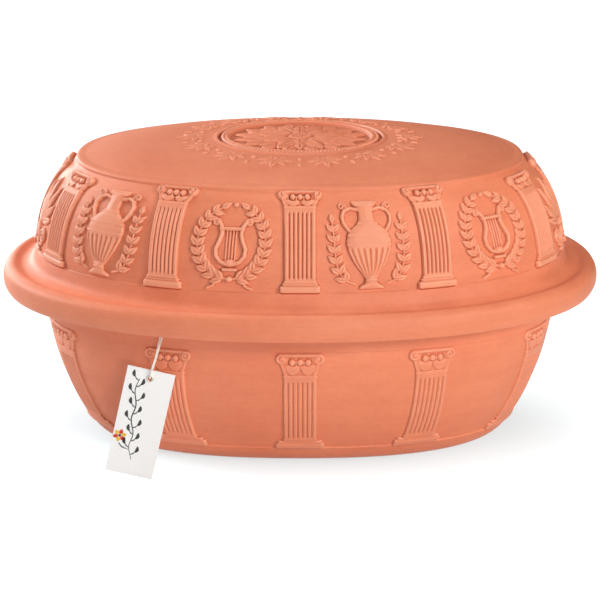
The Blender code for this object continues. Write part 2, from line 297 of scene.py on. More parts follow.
def around(shares):
    """Places of twelve columns, at the middles of the sides, the ends, and shares of each quarter. A
    place counts quarters of the oval, anticlockwise from the middle of the front, at foot and top."""
    places = []
    for half in (0, 2):
        places += [(half + low, half + high) for low, high in ((0, 0), *shares, (1, 1))]
        places += [(half + 2 - low, half + 2 - high) for low, high in reversed(shares)]
    return places


def wall_spots(wall, side_share, roundness, seat, up, along, place):
    """Ground points and outward directions of a relief: rows up the wall, columns along it, both in
    millimetres, around a place."""
    turn = np.linspace(0, 2 * np.pi, WALK_STEPS + 1)
    power = 2 / roundness
    across = np.sign(np.sin(turn)) * np.abs(np.sin(turn)) ** power
    ahead = -np.sign(np.cos(turn)) * np.abs(np.cos(turn)) ** power
    spots = np.empty((len(up), len(along), 3))
    for row, way in enumerate(np.array(up) / 1000):
        inset = np.interp(way, wall[:, 0], wall[:, 1])
        x = (LENGTH / 2 - inset) * across
        y = (WIDTH / 2 - side_share * inset) * ahead
        walked = np.r_[0, np.cumsum(np.hypot(np.diff(x), np.diff(y)))]
        here = np.interp(row, (0, len(up) - 1), place)
        wanted = (here * walked[-1] / 4 + np.array(along) / 1000) % walked[-1]
        spots[row, :, 0] = np.interp(wanted, walked, x)
        spots[row, :, 1] = np.interp(wanted, walked, y)
        spots[row, :, 2] = seat + np.interp(way, wall[:, 0], wall[:, 2])
    outward = np.cross(np.gradient(spots, axis=1), np.gradient(spots, axis=0))
    outward /= np.linalg.norm(outward, axis=2, keepdims=True)
    return spots, outward


def softened(heights, passes):
    """Heights with their edges eased, as clay leaves a mould."""
    for _ in range(passes):
        padded = np.pad(heights, 1, mode="edge")
        heights = (padded[:-2, 1:-1] + padded[2:, 1:-1] + padded[1:-1, :-2] + padded[1:-1, 2:]
                   + 4 * heights) / 8
    return heights


def hollows(heights):
    """How deep each point lies below its surroundings, from -1 on a crest to 1 in a groove."""
    near, wide = softened(heights, 6) - heights, softened(heights, 24) - heights
    return np.clip(0.75 * near + 0.70 * wide - 0.10 * heights, -0.8, 1.0)


def pressed_relief(spots, outward, heights):
    """Closed slab with the relief on its face. Its edges and back lie inside the clay wall."""
    rows, columns = heights.shape
    bm = bmesh.new()
    bmesh.ops.create_grid(bm, x_segments=columns - 1, y_segments=rows - 1, size=1)
    inner = bm.verts.layers.float_vector.new("inner")
    hollow = bm.verts.layers.float.new("hollow")
    side = bm.verts.layers.int.new("side")
    face = (spots + outward * (heights[..., None] - RELIEF_SUNK) / 1000).reshape(-1, 3)
    behind = (spots - outward * RELIEF_BACK).reshape(-1, 3)
    depth = hollows(heights).ravel()
    for index, vert in enumerate(bm.verts):
        vert.co = face[index]
        vert[inner] = behind[index]
        vert[hollow] = depth[index]
        vert[side] = {0: 1, columns - 1: 2}.get(index % columns, 0)
    border = [edge for edge in bm.edges if edge.is_boundary]
    pulled = bmesh.ops.extrude_edge_only(bm, edges=border)["geom"]
    for vert in pulled:
        if isinstance(vert, bmesh.types.BMVert):
            vert.co = vert[inner]
    edges = [part for part in pulled if isinstance(part, bmesh.types.BMEdge)]
    uprights = [edge for edge in edges
                if edge.verts[0][side] and edge.verts[0][side] == edge.verts[1][side]]
    bmesh.ops.bridge_loops(bm, edges=uprights)
    bmesh.ops.holes_fill(bm, edges=bm.edges, sides=0)
    bm.verts.layers.float_vector.remove(inner)
    bm.verts.layers.int.remove(side)
    return bm


def grid_over(half_width, low, high, step=RELIEF_STEP):
    """Relief coordinates in millimetres: across from the middle, and up."""
    along = step * np.arange(-round(half_width / step), round(half_width / step) + 1)
    up = np.linspace(low, high, int((high - low) / RELIEF_STEP) + 1)
    return along, up, *np.meshgrid(along, up)


def box_gap(u, v, half, low, high, rounding):
    """Distance outside a box across the middle with rounded corners, negative inside."""
    over_u = np.abs(u) - half + rounding
    over_v = np.abs(v - (low + high) / 2) - (high - low) / 2 + rounding
    return (np.hypot(np.maximum(over_u, 0), np.maximum(over_v, 0))
            + np.minimum(np.maximum(over_u, over_v), 0) - rounding)


def disc_gap(u, v, u0, v0, radius_u, radius_v=None):
    """Distance outside a disc or an ellipse, negative inside."""
    radius_v = radius_v or radius_u
    return (np.hypot((u - u0) / radius_u, (v - v0) / radius_v) - 1) * min(radius_u, radius_v)


def line_gap(u, v, points):
    """Distance to a line of points."""
    gap = np.full(u.shape, 1e3)
    for (u0, v0), (u1, v1) in zip(points, points[1:]):
        du, dv = u1 - u0, v1 - v0
        share = np.clip(((u - u0) * du + (v - v0) * dv) / (du * du + dv * dv), 0, 1)
        gap = np.minimum(gap, np.hypot(u - u0 - share * du, v - v0 - share * dv))
    return gap


def raised(gap, height, edge=0.75):
    """Flat relief inside a gap of 0, with a sloped edge."""
    return height * smooth_step(0.5 - gap / edge)


def domed(gap, height, reach):
    """Round relief that rises from a gap of 0 to its full height that far inside."""
    return height * np.sqrt(1 - (1 - np.clip(-gap / reach, 0, 1)) ** 2)


def rolled(gap, height, radius):
    """Round ridge that runs along a line."""
    return height * np.sqrt(np.maximum(1 - (gap / radius) ** 2, 0))


def ridge(u, v, points, height, radius):
    """Round ridge along a line of points."""
    return rolled(line_gap(u, v, points), height, radius)


def bar(u, v, half_length, level, height, radius):
    """Round level ridge across the middle."""
    return ridge(u, v, [(-half_length, level), (half_length, level)], height, radius)


def highest(*reliefs):
    """The highest of several reliefs, point by point."""
    return np.maximum.reduce(reliefs)


def scroll_points(u0, v0, radius, turns, start, hand):
    """Points of a spiral that winds in to its eye."""
    share = np.linspace(0, 1, int(16 * turns) + 1)
    turn = start + hand * 2 * np.pi * turns * share
    reach = radius * (1 - 0.80 * share)
    return list(zip(u0 + reach * np.cos(turn), v0 + reach * np.sin(turn)))


def column_relief(u, v, rise, shaft, half, flank, flutes, flute, pitch, step, foot_half, foot_low,
                  abacus, reach, scroll, pearl, pearl_pitch, pearl_up):
    """Heights of one column from the measures of its parts, all in millimetres."""
    low, neck = shaft
    under, top = abacus
    tall = under - neck
    # Shaft with its flutes, and the roll at its neck
    plain = raised(box_gap(u, v, half + flank / 2, low - 1.5, neck, 0.4), rise * 0.95, flank)
    from_ridge = np.abs((u / pitch + 0.5) % 1 - 0.5) * 2
    fluted = smooth_step((v - flutes[0]) / 1.6) * smooth_step((flutes[1] - v) / 1.6)
    fluted = fluted * smooth_step((3.1 * pitch - np.abs(u)) / (0.2 * pitch))
    cut = flute * fluted * (1 - np.sqrt(np.maximum(1 - from_ridge ** 2, 0)))
    relief = highest(plain - cut, bar(u, v, half + 0.5, neck, rise * 1.05, 0.95))
    # Sloped step and foot block, each with its roll
    flare = half + 0.4 + (foot_half - half - 2.2) * smooth_step((low - v) / (low - step + 0.6)) ** 2
    foot = box_gap(u, v, foot_half, foot_low, step, 1.6)
    relief = highest(relief, raised(highest(np.abs(u) - flare, v - low, 0.6 - v), rise * 0.85),
                     bar(u, v, half + 0.8, low - 0.4, rise * 1.15, 0.8),
                     raised(foot, rise * 0.80) + domed(foot, rise * 0.45, 2.0),
                     bar(u, v, foot_half - 2.4, step + 1.0, rise * 1.05, 1.0))
    # Bell of the capital, with two leaves and the horns that carry the scrolls
    bell = half - 0.4 + (reach - scroll - half + 1.2) * smooth_step((v - neck) / tall)
    relief = highest(relief, raised(highest(np.abs(u) - bell, v - top + 1, neck - v), rise * 0.50))
    for hand in (-1, 1):
        lobe = highest(disc_gap(u, v, hand * half * 0.49, neck + tall * 1.05, half * 0.50, tall * 0.95),
                       v - pearl_up + pearl)
        horn = [(hand * (half - 0.6), neck + 1.0), (hand * (half + 0.2), neck + tall * 0.5),
                (hand * (reach - scroll - 0.2), under + 0.6)]
        relief = highest(relief, raised(lobe, rise * 0.80) + domed(lobe, rise * 0.22, half * 0.22),
                         ridge(u, v, horn, rise, 1.5))
        relief = relief - ridge(u, v, horn, rise * 0.28, 0.5)
    # Three pearls with darts between them, then the top block with its scrolls
    for index in (-1, 0, 1):
        gap = disc_gap(u, v, index * pearl_pitch, pearl_up, pearl, pearl * 1.12)
        relief = relief - raised(gap - 0.5, rise * 0.42, 0.6) * (gap > 0) * (v < top - 2.4)
        relief = highest(relief, raised(gap, rise * 0.85) + domed(gap, rise * 0.52, pearl))
    for dart in (-pearl_pitch / 2, pearl_pitch / 2):
        tip = [(dart, pearl_up + 0.4), (dart, pearl_up - 2.6)]
        relief = highest(relief, ridge(u, v, tip, rise * 1.08, 0.6))
    relief = highest(relief, bar(u, v, reach - scroll, top - 1.4, rise * 1.20, 1.4))
    for hand in (-1, 1):
        eye = hand * (reach - scroll), top - scroll - 0.1
        spiral = scroll_points(*eye, scroll - 0.85, 1.25, np.pi / 2, -hand)
        relief = highest(relief, raised(disc_gap(u, v, *eye, scroll), rise * 0.78),
                         ridge(u, v, spiral, rise * 1.30, scroll * 0.25),
                         domed(disc_gap(u, v, *eye, scroll * 0.30), rise * 1.40, scroll * 0.30))
    return relief


def press_on(side, name, heights, up, along, place):
    """Adds a relief to a clay wall. A side holds its wall line, oval, seat, clay and body."""
    wall, oval, seat, clay, body = side
    spots, outward = wall_spots(wall, *oval, seat, up, along, place)
    add_piece(name, pressed_relief(spots, outward, heights), clay, body, 180)


BASE_COLUMN = dict(rise=1.7, shaft=(11.0, 65.1), half=9.9, flank=1.5, flutes=(12.0, 61.4), flute=1.05,
                   pitch=3.08, step=7.0, foot_half=16.2, foot_low=1.0, abacus=(72.6, 82.0), reach=15.9,
                   scroll=4.2, pearl=2.05, pearl_pitch=5.1, pearl_up=75.4)
BASE_COLUMN_PATCH = (18.4, 0.4, 82.6)        # half width, lowest and highest line
base_side = (base_wall, BASE_OVAL, 0, base_clay, "base")
along, up, u, v = grid_over(*BASE_COLUMN_PATCH, BASE_COLUMN["pitch"] / 8)
base_column = softened(column_relief(u, v, **BASE_COLUMN), 1)
for number, place in enumerate(around(BASE_COLUMN_SHARES), 1):
    press_on(base_side, f"base_column_{number:02d}", base_column, up, along, place)


# ------------------------------------------------------------------------------------------------
# Lid. One pressed piece of the same clay: a rounded lip that comes down around the base's rim, a wide
# cove, an upright frieze with its ground set back, and a low dome with a round well for the medallion.
SEAT = BASE_HEIGHT + 0.0003
SEAT_CLEARANCE, SEAT_EASE = 0.003, 0.0004
LIP_DROP, LIP_TUCK, WIDEST_HEIGHT = 0.0046, 0.0024, 0.0047
CREST_INSET, CREST_HEIGHT = 0.0070, 0.0124
COVE_INSET, COVE_HEIGHT = 0.0135, 0.0112
FRIEZE_INSET, FRIEZE_HEIGHT = 0.0237, 0.0220
CREASE_INSET, CREASE_HEIGHT = 0.0546, 0.0844
LID_BELLY = ((0.09, 0.40), (0.33, 0.75))
LID_OVAL = (0.674, 2.19)
DOME_RISE, DOME_POWER = 0.0106, 4
MEDALLION_RADIUS, MEDALLION_RISE = 0.0605, 0.0012
MEDALLION_SHARE = 0.92           # its width over its length
MEDALLION_WELL = 0.0050          # under the crown
FRIEZE_BAND = (0.0004, 0.0664)
FRIEZE_SUNK, FRIEZE_BAND_EDGE = 0.0008, 0.0010
SHOULDER_RISE, SHOULDER_REACH = 0.0009, 0.0060   # bead along the dome's edge
DOME_LENGTH = LENGTH / 2 - CREASE_INSET
DOME_WIDTH = WIDTH / 2 - LID_OVAL[0] * CREASE_INSET
CROWN = SEAT + CREASE_HEIGHT + DOME_RISE + MEDALLION_RISE


def smooth_line(points, samples):
    """Even samples of a smooth curve through the given points."""
    nodes = [np.array(point, float) for point in points]
    nodes = [2 * nodes[0] - nodes[1]] + nodes + [2 * nodes[-1] - nodes[-2]]
    fine = []
    for before, start, end, after in zip(nodes, nodes[1:], nodes[2:], nodes[3:]):
        for t in np.arange(0, 1, 1 / 24):
            fine.append(0.5 * (2 * start + (end - before) * t
                               + (2 * before - 5 * start + 4 * end - after) * t ** 2
                               + (3 * start - before - 3 * end + after) * t ** 3))
    fine = np.array(fine + [nodes[-2]])
    walked = np.r_[0, np.cumsum(np.linalg.norm(np.diff(fine, axis=0), axis=1))]
    wanted = np.linspace(0, walked[-1], samples)
    return np.stack([np.interp(wanted, walked, column) for column in fine.T], axis=1)


def dome_top(x, y):
    """Height of the dome's face over a point."""
    roundness = LID_OVAL[1]
    share = (np.abs(x) / DOME_LENGTH) ** roundness + (np.abs(y) / DOME_WIDTH) ** roundness
    return SEAT + CREASE_HEIGHT + DOME_RISE * (1 - (share ** (1 / roundness)) ** DOME_POWER)


def dome_oval(half_length, half_width):
    """Oval line of the dome's own roundness."""
    return oval_row(half_length, half_width, LID_OVAL[1], 0)


def on_dome(row, lift=0.0):
    """A line laid on the dome's face."""
    return np.c_[row[:, :2], dome_top(row[:, 0], row[:, 1]) + lift]


def medallion_row(reach, height, steps=OVAL_STEPS):
    """Line around the medallion at a distance from its middle."""
    return oval_row(reach, MEDALLION_SHARE * reach, 2, height, steps)


lip = smooth_line([(LIP_TUCK, -LIP_DROP),
                   (LIP_TUCK * 0.15, (WIDEST_HEIGHT - LIP_DROP) * 0.5 - LIP_TUCK * 0.3),
                   (0, WIDEST_HEIGHT),
                   (CREST_INSET * 0.25, WIDEST_HEIGHT + (CREST_HEIGHT - WIDEST_HEIGHT) * 0.66),
                   (CREST_INSET, CREST_HEIGHT),
                   (COVE_INSET, COVE_HEIGHT),
                   (COVE_INSET + (FRIEZE_INSET - COVE_INSET) * 0.66,
                    COVE_HEIGHT + (FRIEZE_HEIGHT - COVE_HEIGHT) * 0.28),
                   (FRIEZE_INSET, FRIEZE_HEIGHT)], 46)
frieze_line = belly_curve((FRIEZE_INSET, FRIEZE_HEIGHT), (CREASE_INSET, CREASE_HEIGHT), LID_BELLY, 400)
frieze_wall = sunken_wall(frieze_line, LID_OVAL[0], FRIEZE_BAND, FRIEZE_SUNK, FRIEZE_BAND_EDGE)


def shoulder(apart):
    """How far the rounded bead at the dome's edge stands out, at a distance from its middle."""
    return SHOULDER_RISE * np.cos(np.pi / 2 * np.clip(apart / SHOULDER_REACH, 0, 1)) ** 2


lid_wall = frieze_wall[:, 1:].copy()
run, rise = np.gradient(frieze_wall[:, 1]), np.gradient(frieze_wall[:, 2])
swell = shoulder(2.2 * (frieze_wall[-1, 0] - frieze_wall[:, 0])) / np.hypot(run, rise)
lid_wall += np.stack([-rise * swell, run * swell], axis=1)
lid_rows = [inset_row(inset, SEAT + height, *LID_OVAL) for inset, height in np.r_[lip[:-1], lid_wall]]
lid_rows += [on_dome(dome_oval(DOME_LENGTH - apart, DOME_WIDTH - apart), 0.95 * shoulder(apart))
             for apart in SHOULDER_REACH / 10 * np.arange(1, 11)]
lid_rows += [on_dome(dome_oval(DOME_LENGTH * share, DOME_WIDTH * share))
             for share in np.arange(0.935, 0.69, -0.03)]
outer, ring = lid_rows[-1], medallion_row(MEDALLION_RADIUS - 0.0015, 0)
lid_rows += [on_dome(outer + (ring - outer) * share) for share in np.linspace(0, 1, 9)[1:]]
lid_rows += [medallion_row(reach, CROWN - MEDALLION_WELL) for reach in (0.0588, 0.020)]

lid_under = [inset_row(RIM_INSET, SEAT - drop, *BASE_OVAL, inward) for drop, inward in
             ((0, WALL), (0, SEAT_EASE - SEAT_CLEARANCE), (SEAT_EASE, -SEAT_CLEARANCE),
              (LIP_DROP, -SEAT_CLEARANCE))]
cover = [(LENGTH / 2 - inset, WIDTH / 2 - LID_OVAL[0] * inset, height)
         for inset, height in frieze_line[::16]]
cover += [(DOME_LENGTH * share, DOME_WIDTH * share,
           CREASE_HEIGHT + DOME_RISE * (1 - share ** DOME_POWER))
          for share in (0.96, 0.9, 0.82, 0.7, 0.55, 0.4, 0.25, 0.1)]
cover = np.array(cover)
run, rise = np.gradient(cover[:, 0]), np.gradient(cover[:, 2])
lid_inside = [oval_row(half_length - WALL * up / way, half_width - WALL * up / way, LID_OVAL[1],
                       SEAT + height + WALL * out / way)
              for (half_length, half_width, height), out, up, way in
              zip(cover, run, rise, np.hypot(run, rise))]
lid_clay = clay_surface("lid_clay_fired")
lid = add_piece("lid_clay", loft(lid_inside[::-1] + lid_under + lid_rows), lid_clay, "lid")
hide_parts("lid")


# ------------------------------------------------------------------------------------------------
# Lid columns. Twelve more columns around the frieze, over those of the base. They are narrower, and
# they stand out more. The six at and next to the oval's ends are a little lower than the others.
LID_COLUMN = dict(rise=2.8, shaft=(8.9, 54.8), half=8.9, flank=1.7, flutes=(9.8, 52.0), flute=1.85,
                  pitch=2.67, step=6.0, foot_half=12.8, foot_low=0.9, abacus=(60.0, 66.4), reach=13.8,
                  scroll=3.3, pearl=1.75, pearl_pitch=4.5, pearl_up=61.4)
LID_COLUMN_PATCH = (15.2, 0.3, 66.7)
LID_COLUMN_SHARES = ((0.357, 0.372), (0.735, 0.745))
END_COLUMN = 0.94         # height of the six at the ends, over that of the others
lid_side = (frieze_wall, LID_OVAL, SEAT, lid_clay, "lid")
along, up, u, v = grid_over(*LID_COLUMN_PATCH, LID_COLUMN["pitch"] / 8)
lid_column = softened(column_relief(u, v, **LID_COLUMN), 1)
for number, place in enumerate(around(LID_COLUMN_SHARES), 1):
    height = END_COLUMN if min(place[1] % 2, -place[1] % 2) > 0.5 else 1
    press_on(lid_side, f"lid_column_{number:02d}", lid_column, height * up, along, place)


# ------------------------------------------------------------------------------------------------
# Frieze ornaments. One pressed ornament in each bay between the lid's columns, in low relief with
# soft edges: a two-handled jar between laurel sprigs, a lyre in a wreath, and a palmette by each end.
def leaf(u, v, u0, v0, turn, length, width, height):
    """Pointed leaf with a sunk midrib, from its foot in a direction."""
    ahead = (u - u0) * np.cos(turn) + (v - v0) * np.sin(turn)
    aside = np.abs((v - v0) * np.cos(turn) - (u - u0) * np.sin(turn))
    share = np.clip(ahead / length, 0, 1)
    half = width / 2 * np.sin(np.pi * share ** 0.8)
    gap = np.maximum(aside - half, np.maximum(-ahead, ahead - length))
    body = height * 0.35 * (gap < 0) + domed(gap, height * 0.65, width * 0.36)
    return body - rolled(aside, height * 0.34, 0.42) * (gap < -0.25) * (share < 0.86)


def sprig(u, v, line, length, width, height, first=0):
    """Leaves in pairs up a curved stem, and one at its tip."""
    relief = ridge(u, v, line, height * 0.7, 0.65)
    for index in range(first, len(line) - 1):
        (u0, v0), (u1, v1) = line[index], line[index + 1]
        turn = math.atan2(v1 - v0, u1 - u0)
        shrink = 1 - 0.25 * index / len(line)
        for hand in (-1, 1):
            relief = highest(relief, leaf(u, v, u0, v0, turn + hand * 0.62, length * shrink,
                                          width * shrink, height))
    return highest(relief, leaf(u, v, u1, v1, turn, length * 0.8, width * 0.8, height))


def arc_points(u0, v0, radius, start, end, steps, squash=1.0):
    """Points along an arc, its angles in degrees."""
    turn = np.radians(np.linspace(start, end, steps + 1))
    return list(zip(u0 + radius * np.cos(turn), v0 + radius * squash * np.sin(turn)))


def on_side(hand, points):
    """Points that are drawn at the right, put at the right or the left."""
    return [(hand * across, up) for across, up in points]


def curl(u, v, hand, middle, radius, turns, start, height, thickness):
    """Small rolled-in scroll at one side, its starting angle in degrees."""
    spiral = scroll_points(hand * middle[0], middle[1], radius, turns, math.radians(start), -hand)
    return ridge(u, v, spiral, height, thickness)


JAR_LEVELS = [3.0, 5.0, 7.0, 9.5, 14, 20, 27, 33, 38, 41.5, 44, 47, 51, 54.5, 56.5, 58.5]
JAR_HALVES = [7.2, 7.0, 3.4, 2.7, 5.6, 9.2, 12.0, 12.8, 11.4, 8.6, 5.6, 4.1, 3.9, 4.8, 6.9, 7.2]
DRAWN_HEIGHT, DEEPENED = 1.35, 1.85      # of an ornament as drawn, and how much more is pressed


def jar_relief(u, v):
    """Two-handled jar on its foot, with a sprig at each side."""
    height = DRAWN_HEIGHT
    half = np.interp(v, JAR_LEVELS, softened(np.array([JAR_HALVES]), 1)[0])
    gap = highest(np.abs(u) - half, JAR_LEVELS[0] - v, v - JAR_LEVELS[-1])
    relief = raised(gap, height * 0.55) + domed(gap, height * 0.75, 6.0)
    for level in (9.2, 31.0, 37.2, 44.4, 55.6):
        hoop = rolled(np.hypot(np.maximum(gap + 0.4, 0), v - level), height * 1.35, 0.75)
        relief = highest(relief, hoop * (gap < 0.4))
    fluted = smooth_step((v - 10.5) / 2) * smooth_step((29.8 - v) / 2) * (gap < -0.5)
    for lobe in range(-3, 4):
        relief = relief - rolled(u - lobe * half / 3.6, 0.50, 0.7) * fluted
    for bead in range(-4, 5):
        relief = highest(relief, domed(disc_gap(u, v, bead * 2.5, 34.1, 1.0), 1.75, 1.0) * (gap < -0.6))
    for hand in (-1, 1):
        handle = on_side(hand, ((4.4, 53.0), (8.0, 54.2), (11.6, 52.4), (13.2, 48.8), (12.8, 44.6),
                                (11.2, 41.4), (9.6, 39.0)))
        stem = on_side(hand, ((8.6, 6.2), (13.4, 8.2), (16.9, 13.0), (18.6, 19.4), (19.1, 26.2),
                              (19.0, 33.0), (18.9, 39.4), (18.9, 45.0)))
        relief = highest(relief, ridge(u, v, handle, height * 0.95, 1.25),
                         curl(u, v, hand, (12.4, 55.2), 2.3, 1.25, 90 + 120 * hand, height * 0.85, 0.7),
                         sprig(u, v, stem, 7.8, 4.4, height * 0.9, 1))
    return relief


def lyre_relief(u, v):
    """Lyre inside a laurel wreath that is tied at the foot."""
    height = DRAWN_HEIGHT
    relief = highest(bar(u, v, 6.6, 40.8, height * 1.2, 1.2),
                     raised(box_gap(u, v, 4.6, 14.2, 16.4, 0.8), height),
                     domed(disc_gap(u, v, 0, 19.4, 3.4, 2.6), height * 1.2, 2.4),
                     domed(disc_gap(u, v, 0, 9.2, 2.3), height * 1.35, 2.2),
                     domed(disc_gap(u, v, 0, 56.0, 1.6), height * 1.1, 1.5))
    for hand in (-1, 1):
        ring = arc_points(0, 32.0, 20.2, -90 + hand * 12, -90 + hand * 156, 10, 1.16)
        ribbon = on_side(hand, ((0, 8.8), (4.2, 10.2), (8.0, 8.2), (9.4, 5.0), (13.2, 3.2)))
        arm = on_side(hand, ((1.8, 18.6), (5.6, 20.0), (8.4, 23.6), (8.8, 28.2), (6.8, 33.0),
                             (5.6, 37.6), (6.2, 42.0), (8.2, 45.0)))
        relief = highest(relief, sprig(u, v, ring, 8.4, 4.8, height * 0.95),
                         ridge(u, v, ribbon, height * 0.8, 1.05), ridge(u, v, arm, height * 1.05, 1.45),
                         curl(u, v, hand, (9.6, 44.6), 2.2, 1.2, 90 + 45 * hand, height, 0.8))
    for string in (-2.7, -0.9, 0.9, 2.7):
        relief = highest(relief, ridge(u, v, [(string, 20.5), (string, 40.4)], height * 0.6, 0.5))
    return relief


def palmette_relief(u, v):
    """Fan of leaves over two scrolls, on a stepped foot."""
    height = DRAWN_HEIGHT
    relief = highest(domed(disc_gap(u, v, 0, 22.2, 3.0), height * 1.4, 2.8),
                     raised(box_gap(u, v, 5.4, 2.6, 5.2, 0.8), height),
                     raised(box_gap(u, v, 3.6, 5.0, 8.2, 0.8), height * 0.8))
    for hand in (-1, 1):
        for petal in range(4):
            angle, length = math.radians(90 - hand * petal * 25), 30.0 - petal ** 2 * 1.35
            relief = highest(relief, leaf(u, v, hand * 0.45 * petal, 24.0 - petal * 0.5, angle, length,
                                          7.2 - 0.6 * petal, height * (1.05 - 0.06 * petal)))
        stem = on_side(hand, ((0.6, 8.0), (1.8, 13.0), (5.0, 17.0), (8.6, 18.4)))
        low_leaf = leaf(u, v, hand * 3.2, 6.6, math.radians(90 - hand * 62), 8.0, 3.6, height * 0.8)
        relief = highest(relief, ridge(u, v, stem, height * 0.95, 1.15), low_leaf,
                         curl(u, v, hand, (9.0, 14.0), 4.4, 1.6, 90, height, 0.95))
    return relief


# What each ornament is drawn by, how much it is widened, its half width, and its places
ORNAMENTS = ((jar_relief, 1.14, 28.0, (0.1825, 1.45, 2.1825, 3.45)),
             (lyre_relief, 1.06, 29.0, (0.55, 1.8175, 2.55, 3.8175)),
             (palmette_relief, 1.0, 15.8, (0.8675, 1.1325, 2.8675, 3.1325)))
number = 0
for draw, widened, half_width, places in ORNAMENTS:
    along, up, u, v = grid_over(half_width, 1.2, 62.5)
    heights = softened(DEEPENED * draw(u / widened, v), 1)
    for place in places:
        number += 1
        press_on(lid_side, f"lid_ornament_{number:02d}", heights, up, along, (place, place))


# ------------------------------------------------------------------------------------------------
# Medallion. A round plate pressed in the middle of the dome: a broad rounded rim, a deep groove, a
# beaded ring, and a sunk field filled by a rosette of four rings of leaves around a beaded boss.
MEDALLION_STEPS = 640
RIM_TOP, FIELD_DEPTH = -0.5, 2.9           # from the crown, in millimetres
GROOVE, BEAD_RING, LEDGE = (56.4, 54.0), 52.5, 49.9  # from the middle
BEADS, BOSS_BEADS = 130, 12
# Each ring's leaves, the share of one that it is turned by, its radius, and their length, width, height
ROSETTE = ((16, 0.5, 30.0, 15.5, 9.5, 1.9), (16, 0.0, 22.0, 17.0, 9.0, 2.1),
           (8, 0.5, 13.0, 21.0, 13.5, 2.4), (8, 0.0, 8.5, 19.5, 12.0, 2.7))


def rosette_relief(u, v):
    """Rings of leaves, one over the other, around a beaded boss."""
    reach = np.hypot(u, v)
    relief = np.zeros(reach.shape)
    for leaves, start, inner, length, width, height in ROSETTE:
        for angle in 2 * np.pi * (np.arange(leaves) + start) / leaves:
            relief = highest(relief, leaf(u, v, inner * np.cos(angle), inner * np.sin(angle), angle,
                                          length, width, height))
    relief = highest(relief, domed(reach - 10.5, 2.3, 2.5)) - rolled(reach - 8.6, 1.0, 1.0)
    for angle in 2 * np.pi * np.arange(BOSS_BEADS) / BOSS_BEADS:
        bead = disc_gap(u, v, 6.2 * np.cos(angle), 6.2 * np.sin(angle), 1.45)
        relief = highest(relief, domed(bead, 2.8, 1.4))
    return highest(relief, domed(reach - 3.8, 2.8, 3.6))


def medallion_relief(reach, turn):
    """Height of the medallion's face from the crown, in millimetres."""
    outer, inner = (smooth_step((edge - reach) / 0.9) for edge in GROOVE)
    face = RIM_TOP - 2.7 * outer * (1 - inner)
    face = face - 0.35 * smooth_step((54.4 - reach) / 0.6)
    face = face - (FIELD_DEPTH + RIM_TOP - 0.35) * smooth_step((49.0 - reach) / 2.2)
    ledge = highest(face, RIM_TOP - 0.35 + rolled(reach - LEDGE, 0.75, 1.3))
    face = np.where(np.abs(reach - LEDGE) < 1.3, ledge, face)
    along = (turn * BEADS / (2 * np.pi) + 0.5) % 1 - 0.5
    bead = np.hypot(along * 2 * np.pi * BEAD_RING / BEADS, reach - BEAD_RING)
    face = np.where(bead < 1.1, highest(face, RIM_TOP - 0.75 + rolled(bead, 1.2, 1.1)), face)
    rosette = rosette_relief(reach * np.cos(turn), reach * np.sin(turn))
    return np.where(reach < 47.0, highest(face, rosette - FIELD_DEPTH), face)


def ring_grid(reaches, steps):
    """Angles around, and every point's distance from the middle and angle."""
    turns = 2 * np.pi * np.arange(steps) / steps
    return turns, *np.meshgrid(reaches, turns, indexing="ij")


reaches = np.r_[np.arange(60.5, 57.0, -0.4), np.arange(56.8, 46.4, -0.28), np.arange(46.0, 0.4, -0.50)]
turns, spread, round_turn = ring_grid(reaches, MEDALLION_STEPS)
face = np.minimum(medallion_relief(spread, round_turn), 0)
joined = smooth_step((spread - 56.8) / 3.7)          # the rim's slope runs out into the dome
ground = dome_top(spread / 1000 * np.cos(round_turn),
                  MEDALLION_SHARE * spread / 1000 * np.sin(round_turn))
face = face + ((ground - CROWN) * 1000 - RELIEF_SUNK - face) * joined
medallion_rows = [medallion_row(0.0600, CROWN - 0.0048, MEDALLION_STEPS),
                  medallion_row(MEDALLION_RADIUS, CROWN - 0.0045, MEDALLION_STEPS)]
medallion_rows += [np.c_[reach / 1000 * np.cos(turns), MEDALLION_SHARE * reach / 1000 * np.sin(turns),
                         CROWN + height / 1000] for reach, height in zip(reaches, face)]
depths = np.r_[np.zeros((2, MEDALLION_STEPS)), hollows(face)]
add_piece("lid_medallion", loft(medallion_rows, depths=depths), lid_clay, "lid", 75)


# ------------------------------------------------------------------------------------------------
# Leaf band. A ring of pressed leaf fans around the medallion, on the slope of the dome: five leaves
# that point outwards from two small scrolls, with a bead and a bud between one fan and the next.
BAND_IN, BAND_OUT, BAND_STEPS = 65.0, 85.5, 1150     # millimetres from the dome's middle
BAND_FANS = 14
BAND_SHARE = 0.72            # of the height that the fans are drawn with


def band_relief(reach, turn):
    """Heights of the band in millimetres."""
    middle = (BAND_IN + BAND_OUT) / 2
    pitch = 2 * np.pi * middle / BAND_FANS
    u = ((turn * BAND_FANS / (2 * np.pi) + 0.5) % 1 - 0.5) * pitch
    v = reach - middle
    apart = pitch / 2 - np.abs(u)
    relief = highest(domed(disc_gap(u, v, 0, -6.2, 2.0), 2.1, 1.9),
                     domed(np.hypot(apart, v + 6.4) - 1.9, 1.9, 1.8),
                     domed(np.hypot(apart, (v - 3.6) / 2.2) - 1.3, 1.5, 1.2))
    for hand in (-1, 1):
        for step in range(3):
            angle = math.radians(90 - hand * 36 * step)
            relief = highest(relief, leaf(u, v, hand * 0.6 * step, -4.6 - 0.6 * step, angle,
                                          13.8 - 0.9 * step, 5.6 - 0.3 * step, 1.6))
        relief = highest(relief, ridge(u, v, [(0, -6.0), (hand * 4.6, -5.0)], 1.5, 0.9),
                         curl(u, v, hand, (4.6, -7.4), 2.4, 1.2, 90, 1.6, 0.8))
    return relief


